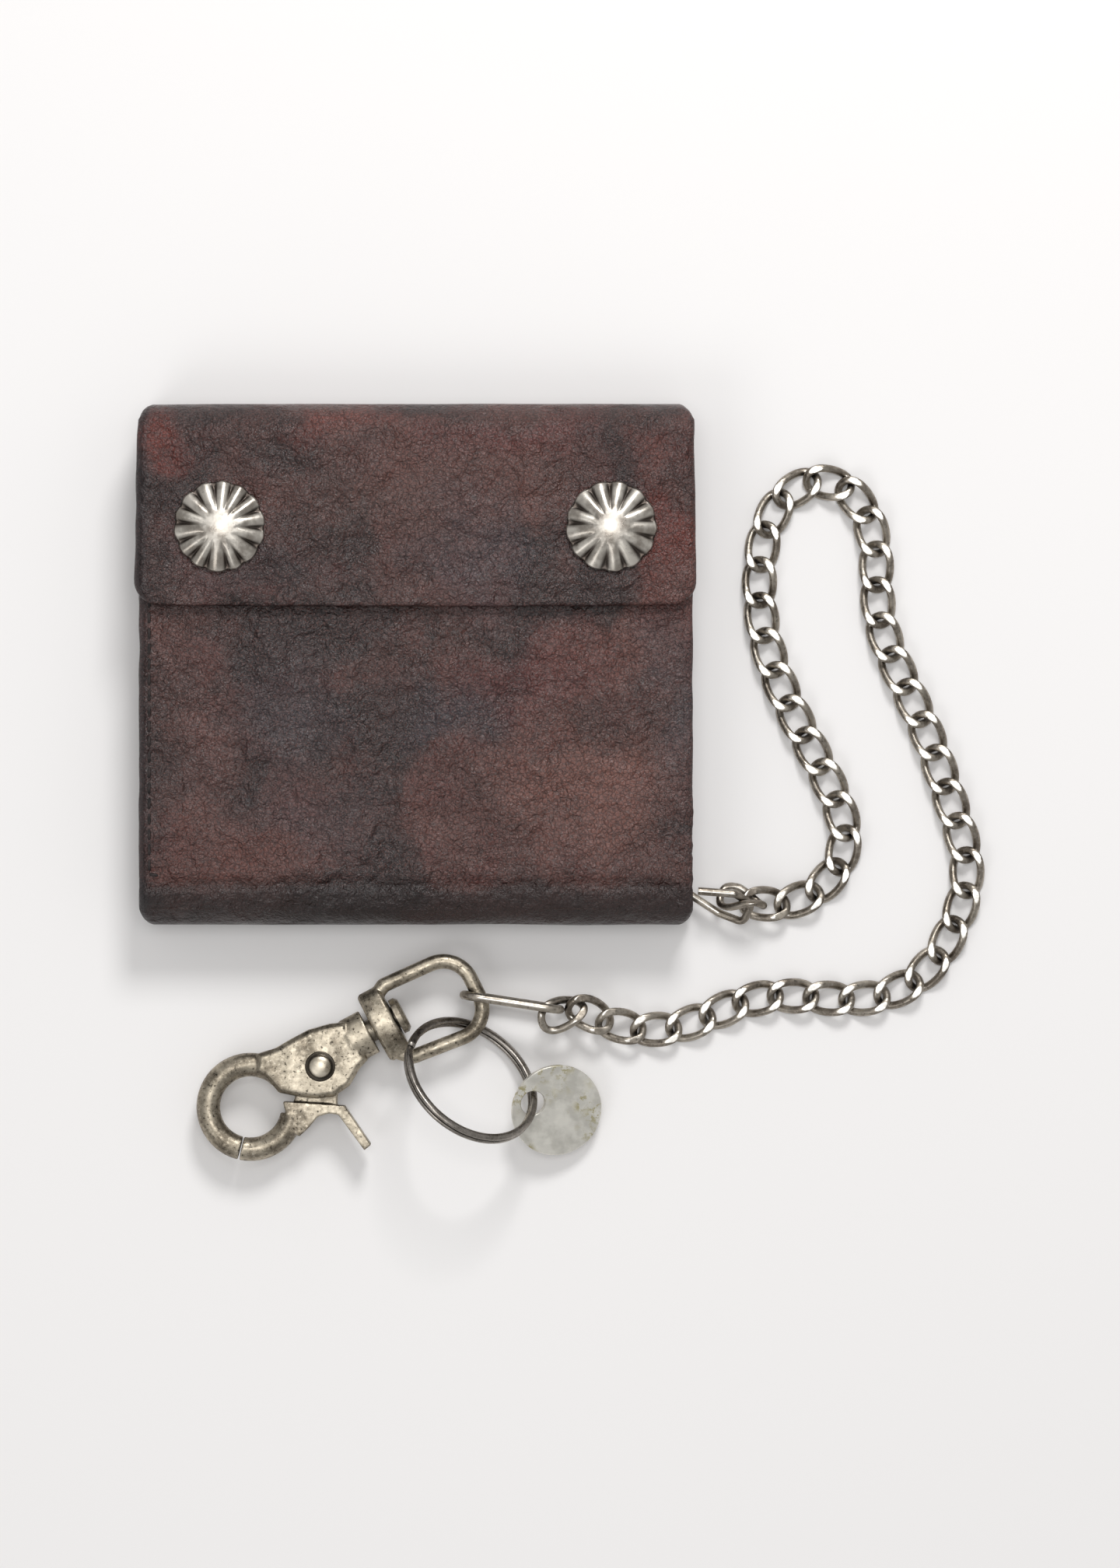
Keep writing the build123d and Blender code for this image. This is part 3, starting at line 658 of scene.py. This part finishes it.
def stitches(name, node, body, x, start, end, z):
    """A row of slightly leaning stitches, with one turned aside at its start."""
    verts, faces = [], []
    y = start
    runs = []
    while y < end:
        lean = 0.12 * noise.noise(Vector((y, 2, 2)))
        far = y + STITCH_LENGTH
        runs.append([(x - lean, y, z - 0.4), (x - lean, y + 0.3, z - 0.02),
                     (x, y + STITCH_LENGTH / 2, z + 0.08),
                     (x + lean, far - 0.3, z - 0.02), (x + lean, far, z - 0.4)])
        y += STITCH_PITCH
    runs.append([(x, start - 0.6, z - 0.25), (x + 0.3, start - 0.7, z + 0.12),
                 (x + 1.6, start - 0.9, z + 0.12), (x + 1.9, start - 0.9, z - 0.25)])
    for run in runs:
        v, f = tube([(px, py, pz + relief(px, py, z) * 0.6) for px, py, pz in run], THREAD_RADIUS)
        faces += [tuple(i + len(verts) for i in face) for face in f]
        verts += v
    piece = make_object(name, verts, faces, thread)
    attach(piece, body)
    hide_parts(node)


stitches("front_thread", "front_stitching", "front_half", -56.9, -44.2, 49.0, FRONT_TOP)


# ---------------------------------------------------------------- fluted snap caps
SNAP_X, SNAP_Y = 41.75, 29.3


def cap(name, centre, turn, flutes):
    """A domed round cap with hammered flutes; soot marks how deep each point is cut."""
    rings, spokes, radius, height = 26, 14 * 16, 9.75, 3.2
    verts, faces = [], []
    depth_of = []
    base_z = TOP_Z + 0.1
    for ring in range(1, rings + 1):
        share = ring / rings
        for spoke in range(spokes):
            angle = 2 * math.pi * spoke / spokes
            uneven = noise.noise(Vector((math.cos(angle) * 1.7, math.sin(angle) * 1.7, turn)))
            phase = angle * flutes / (2 * math.pi) + turn + 0.16 * uneven
            lobe = abs(math.sin(math.pi * phase))
            groove = 1 - lobe ** 0.7
            wander = noise.noise(Vector((math.cos(angle) * 3, math.sin(angle) * 3, turn + 4)))
            start = 0.36 + 0.10 * wander
            grow = max(0.0, min(1.0, (share - start) / (1 - start)))
            cut = groove * (grow ** 0.65) * 1.35
            reach = radius * share * (1 - 0.045 * groove * grow)
            crest = 0.45 * math.exp(-(share / 0.3) ** 2) * 0.3
            dome = height * (1 - share ** 2.1) * 0.82 + 0.35 + crest
            z = base_z + max(0.3, dome + 0.30 * lobe * grow - cut * (1 - 0.25 * share))
            verts.append((centre[0] + reach * math.cos(angle),
                          centre[1] + reach * math.sin(angle), z))
            depth_of.append(min(1.0, cut))
    crown = len(verts)
    verts.append((*centre, base_z + height * 0.82 + 0.35 + 0.135))
    depth_of.append(0.0)
    for ring in range(rings - 1):
        for spoke in range(spokes):
            n = (spoke + 1) % spokes
            inner, outside = ring * spokes, (ring + 1) * spokes
            faces.append((inner + spoke, inner + n, outside + n, outside + spoke))
    for spoke in range(spokes):
        faces.append((crown, spoke, (spoke + 1) % spokes))
    skirt = len(verts)
    for spoke in range(spokes):
        x, y, z = verts[(rings - 1) * spokes + spoke]
        verts.append((centre[0] + (x - centre[0]) * 0.97, centre[1] + (y - centre[1]) * 0.97,
                      base_z))
        depth_of.append(0.8)
    last = (rings - 1) * spokes
    for spoke in range(spokes):
        n = (spoke + 1) % spokes
        faces.append((last + spoke, last + n, skirt + n, skirt + spoke))
    faces.append(tuple(range(skirt, skirt + spokes)))
    piece = make_object(name, verts, faces, cap_silver)
    soot = piece.data.attributes.new("soot", "FLOAT", "POINT")
    soot.data.foreach_set("value", depth_of)
    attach(piece, "flap")
    return piece


def soot_material(name, dull, bright, dark):
    """Struck metal with dark patina left in the grooves that the piece itself marks."""
    g = Graph(name)
    where = g.node("ShaderNodeTexCoord").outputs["Object"]
    soot = g.node("ShaderNodeAttribute", attribute_name="soot").outputs["Fac"]
    cloud, specks = g.noise(where, 300.0, 5.0), g.noise(where, 1500.0, 4.0, 0.7)
    colour = g.mix(g.ramp(cloud, 0.35, 0.65), srgb(*dull), srgb(*bright))
    colour = g.mix(g.ramp(specks, 0.6, 0.74, 0.0, 0.7), colour, srgb(*dark))
    darker = g.ramp(g.math("ADD", soot, g.math("MULTIPLY", cloud, 0.2)), 0.28, 0.8, 0.0, 0.93)
    colour = g.mix(darker, colour, srgb(*dark))
    g.set(Base_Color=colour, Roughness=g.ramp(cloud, 0.3, 0.7, 0.26, 0.42),
          Normal=g.bump(specks, 0.05 * MM, 0.5))
    g.shader.inputs["Metallic"].default_value = 1.0
    return g.material


cap_silver = soot_material("cap_silver", (168, 160, 150), (222, 216, 206), (58, 49, 44))
left_cap = cap("cap_left", (-SNAP_X, SNAP_Y), 0.15, 14)
right_cap = cap("cap_right", (SNAP_X, SNAP_Y), 0.62, 13)
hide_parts("snap_caps")
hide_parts("snap_caps")


# ---------------------------------------------------------------- cast hardware
def cast_copy(node, name, body, voxel, smooth, material):
    """A cast-looking copy of a CAD piece: edges melt together as on a tumbled casting."""
    source = frame["nodes"][node]
    mesh = bpy.data.meshes.new_from_object(source)
    mesh.transform(source.matrix_world)
    mesh.name = name
    mesh.materials.clear()
    mesh.materials.append(material)
    piece = bpy.data.objects.new(name, mesh)
    bpy.context.collection.objects.link(piece)
    bpy.context.view_layer.objects.active = piece
    for other in bpy.context.selected_objects:
        other.select_set(False)
    piece.select_set(True)
    weld = piece.modifiers.new("weld", "WELD")
    weld.merge_threshold = 0.000005
    remesh = piece.modifiers.new("remesh", "REMESH")
    remesh.mode = "VOXEL"
    remesh.voxel_size = voxel * MM
    soften = piece.modifiers.new("soften", "SMOOTH")
    soften.factor = 0.5
    soften.iterations = smooth
    for modifier in list(piece.modifiers):
        bpy.ops.object.modifier_apply(modifier=modifier.name)
    piece.data.polygons.foreach_set("use_smooth", [True] * len(piece.data.polygons))
    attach(piece, body)
    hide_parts(node)
    return piece


cast_copy("snap_body", "cast_body", "snap_body", 0.2, 7, snap_metal)
cast_copy("swivel_eye", "cast_eye", "swivel_eye", 0.2, 7, snap_metal)
cast_copy("trigger", "cast_trigger", "trigger", 0.2, 6, snap_metal)


def lathe(name, centre, profile, material, body):
    """Turned piece about +Z: profile is (radius, height, soot) from the axis outwards, in mm."""
    sides = 64
    verts, faces, dark = [], [], []
    for radius, height, soot in profile:
        for s in range(sides):
            a = 2 * math.pi * s / sides
            verts.append((centre[0] + radius * math.cos(a), centre[1] + radius * math.sin(a),
                          height))
            dark.append(soot)
    for ring in range(len(profile) - 1):
        for s in range(sides):
            t = (s + 1) % sides
            low_ring, high_ring = ring * sides, (ring + 1) * sides
            faces.append((low_ring + s, low_ring + t, high_ring + t, high_ring + s))
    faces.append(tuple(range(sides)))
    faces.append(tuple(range((len(profile) - 1) * sides, len(profile) * sides)))
    piece = make_object(name, verts, faces, material)
    piece.data.attributes.new("soot", "FLOAT", "POINT").data.foreach_set("value", dark)
    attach(piece, body)
    return piece


RIVET = (-20.7, -86.25)
dome = [(2.35 * math.sin(a), 9.25 + 0.75 * math.cos(a), 0.0) for a in steps(0.02, math.pi / 2, 0.2)]
low_dome = [(r, 12.0 - z, soot) for r, z, soot in dome[::-1]]
upper_rim = [(2.4, 9.16, 1.0), (3.0, 9.14, 1.0), (3.25, 9.1, 0.6)]
lower_rim = [(3.25, 2.9, 0.6), (3.0, 2.86, 1.0), (2.4, 2.84, 1.0)]
rivet_metal = soot_material("rivet_metal", (168, 158, 140), (214, 205, 188), (34, 29, 25))
rivet_head = lathe("rivet", RIVET, dome + upper_rim + lower_rim + low_dome, rivet_metal,
                   "snap_body")
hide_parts("snap_rivet")


# ---------------------------------------------------------------- smooth wire links and rings
def loose_parts(node):
    """Vertex clouds of the separate solids in a CAD node, in mm."""
    mesh = bpy.data.meshes.new_from_object(frame["nodes"][node])
    mesh.transform(frame["nodes"][node].matrix_world)
    bm = bmesh.new()
    bm.from_mesh(mesh)
    bmesh.ops.remove_doubles(bm, verts=bm.verts, dist=0.000004)
    bm.verts.ensure_lookup_table()
    seen, clouds = set(), []
    for start in bm.verts:
        if start.index in seen:
            continue
        stack, cloud = [start], []
        seen.add(start.index)
        while stack:
            vert = stack.pop()
            cloud.append(vert.co / MM)
            for edge in vert.link_edges:
                other = edge.other_vert(vert)
                if other.index not in seen:
                    seen.add(other.index)
                    stack.append(other)
        if len(cloud) > 30:
            clouds.append(cloud)
    bm.free()
    bpy.data.meshes.remove(mesh)
    return clouds


def link_axes(cloud):
    """Centre, long, cross and flat directions of a link, from the spread of its vertices."""
    points = np.array([tuple(p) for p in cloud])
    middle = (points.min(0) + points.max(0)) / 2
    _, vectors = np.linalg.eigh(np.cov((points - points.mean(0)).T))
    long_way, cross_way = Vector(vectors[:, 2]), Vector(vectors[:, 1])
    centre = Vector(points.mean(0)) * 0.5 + Vector(middle) * 0.5
    return centre, long_way, cross_way, long_way.cross(cross_way)


def wire_loop(centres, section, closed=True):
    """Skin around a line of centres; section(i) gives the points of the section there."""
    verts, faces = [], []
    count, sides = len(centres), len(section(0))
    for i in range(count):
        verts += section(i)
    for i in range(count if closed else count - 1):
        j = (i + 1) % count
        for s in range(sides):
            t = (s + 1) % sides
            faces.append((i * sides + s, i * sides + t, j * sides + t, j * sides + s))
    if not closed:
        faces.append(tuple(range(sides)))
        faces.append(tuple(range((count - 1) * sides, count * sides)))
    return verts, faces


# Size of a link along its wire's centre, the wire's radius, and the levels it is filed to, in mm.
LINK = {"length": 9.8, "width": 6.0, "twist": 1.42, "wire": 0.84, "filed": (-1.45, 1.68)}
LINK_POINTS, WIRE_SIDES = 40, 18


def smooth_links(node, body):
    """Round-wired twisted links in place of a CAD node's, one for each solid of the node."""
    verts, faces = [], []
    for cloud in loose_parts(node):
        centre, long_way, cross_way, flat_way = link_axes(cloud)
        if flat_way.z < 0:
            cross_way, flat_way = -cross_way, -flat_way

        def on_link(t):
            c, q = math.cos(t), math.sin(t)
            return (LINK["length"] / 2 * math.copysign(abs(c) ** 0.94, c),
                    LINK["width"] / 2 * math.copysign(abs(q) ** 0.9, q),
                    -LINK["twist"] * math.sin(2 * t))

        turns = [2 * math.pi * (i + 0.5) / LINK_POINTS for i in range(LINK_POINTS)]
        centres = [Vector(on_link(t)) for t in turns]

        def section(i):
            ahead = (centres[(i + 1) % LINK_POINTS] - centres[i - 1]).normalized()
            side = ahead.cross(Vector((0, 0, 1))).normalized()
            up = side.cross(ahead)
            ring = []
            for s in range(WIRE_SIDES):
                a = 2 * math.pi * s / WIRE_SIDES
                p = centres[i] + side * (LINK["wire"] * math.cos(a))
                p = p + up * (LINK["wire"] * math.sin(a))
                p.z = max(LINK["filed"][0], min(LINK["filed"][1], p.z))
                ring.append(tuple(centre + long_way * p.x + cross_way * p.y + flat_way * p.z))
            return ring

        v, f = wire_loop(centres, section)
        faces += [tuple(k + len(verts) for k in face) for face in f]
        verts += v
    piece = make_object(node + "_wire", verts, faces, chain_metal)
    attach(piece, body)
    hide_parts(node)


for body, nodes in frame["record"]["behaviour"]["bodies"].items():
    for node in nodes:
        if node.startswith("chain_"):
            smooth_links(node, body)

KEY_LONG_ANGLE = math.radians(-39.5)
KEY_START, KEY_TURNS = 200, 716             # degrees: where the wire starts, and how far it runs
KEY_POINTS, KEY_SIDES = 220, 12
KEY_RADIUS, KEY_RISE = 15.05, 0.56          # to the wire's centre; half the step between turns
KEY_HALF_WIDTH, KEY_HALF_HEIGHT = 0.82, 0.5

key_cloud = [p for cloud in loose_parts("key_ring") for p in cloud]
key_points = np.array([tuple(p) for p in key_cloud])
key_middle = Vector((key_points.min(0) + key_points.max(0)) / 2)
key_spread = np.cov((key_points - key_points.mean(0)).T)
key_normal = Vector(np.linalg.eigh(key_spread)[1][:, 0])
key_long = Vector((math.cos(KEY_LONG_ANGLE), math.sin(KEY_LONG_ANGLE), 0))
key_long = (key_long - key_normal * key_long.dot(key_normal)).normalized()
key_cross = key_normal.cross(key_long)


def key_centre(i):
    """Two turns of flat wire lying on each other, crossing over in one short stretch."""
    share = i / (KEY_POINTS - 1)
    a = math.radians(KEY_START) + share * math.radians(KEY_TURNS)
    climb = max(0.0, min(1.0, (share - 0.47) / 0.06))
    level = KEY_RISE * (2 * climb * climb * (3 - 2 * climb) - 1)
    around = key_long * math.cos(a) + key_cross * math.sin(a)
    return key_middle + around * KEY_RADIUS + key_normal * level


key_line = [key_centre(i) for i in range(KEY_POINTS)]


def key_section(i):
    """Section of the flat wire, with rounded corners."""
    out = key_line[i] - key_middle
    out = (out - key_normal * out.dot(key_normal)).normalized()
    ring = []
    for s in range(KEY_SIDES):
        a = 2 * math.pi * s / KEY_SIDES
        c, q = math.cos(a), math.sin(a)
        ring.append(tuple(key_line[i] + out * (KEY_HALF_WIDTH * math.copysign(abs(c) ** 0.8, c))
                          + key_normal * (KEY_HALF_HEIGHT * math.copysign(abs(q) ** 0.8, q))))
    return ring


key_verts, key_faces = wire_loop(key_line, key_section, closed=False)
key_piece = make_object("split_ring", key_verts, key_faces, ring_metal)
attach(key_piece, "key_ring")
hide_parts("key_ring")


# ---------------------------------------------------------------- materials of the CAD pieces kept
def finish_node(node, material):
    """Give a CAD piece its material; one without a slot would keep its grey, so it stops."""
    obj = frame["nodes"][node]
    if not obj.material_slots:
        raise RuntimeError(f"{node} has no material slot")
    for slot in obj.material_slots:
        slot.material = material


for node in ("wallet_ring", "oval_ring"):
    finish_node(node, chain_metal)
for node in ("swivel_post", "trigger_spring"):
    finish_node(node, snap_metal)
finish_node("tag", tag_finish)
for node in ("snap_sockets", "snap_studs", "stud_backs", "eyelet", "eyelet_washer"):
    finish_node(node, brass)
